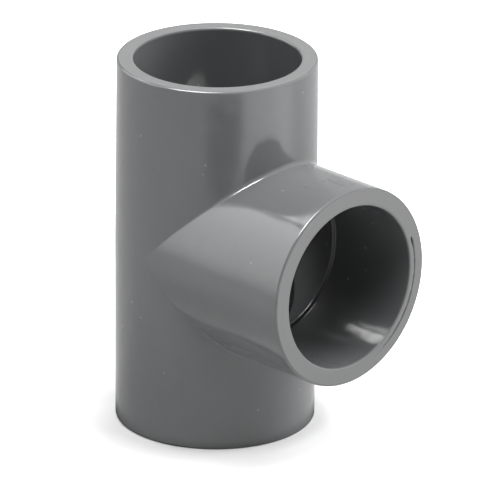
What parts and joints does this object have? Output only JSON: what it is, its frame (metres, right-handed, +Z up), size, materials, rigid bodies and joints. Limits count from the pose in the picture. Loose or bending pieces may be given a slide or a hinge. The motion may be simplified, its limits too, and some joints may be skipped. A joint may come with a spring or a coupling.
{
  "type": "pvc pipe tee",
  "caption": "Equal pipe tee for solvent welding: a straight run with a branch of the same bore at right angles, and a plain socket with a shoulder in each end.",
  "frame": {"origin": "centre of the lower mouth face, on the axis of the run, where the tee stands", "axes": "+Z up along the run, +X along the branch"},
  "size_m": [0.0879, 0.0616, 0.1148],
  "materials": {
    "grey_pvc": "smooth moulded grey PVC-U, semi-gloss outside, with satin mouth faces"
  },
  "bodies": {
    "root": {"tee_body": "grey_pvc"}
  },
  "joints": []
}
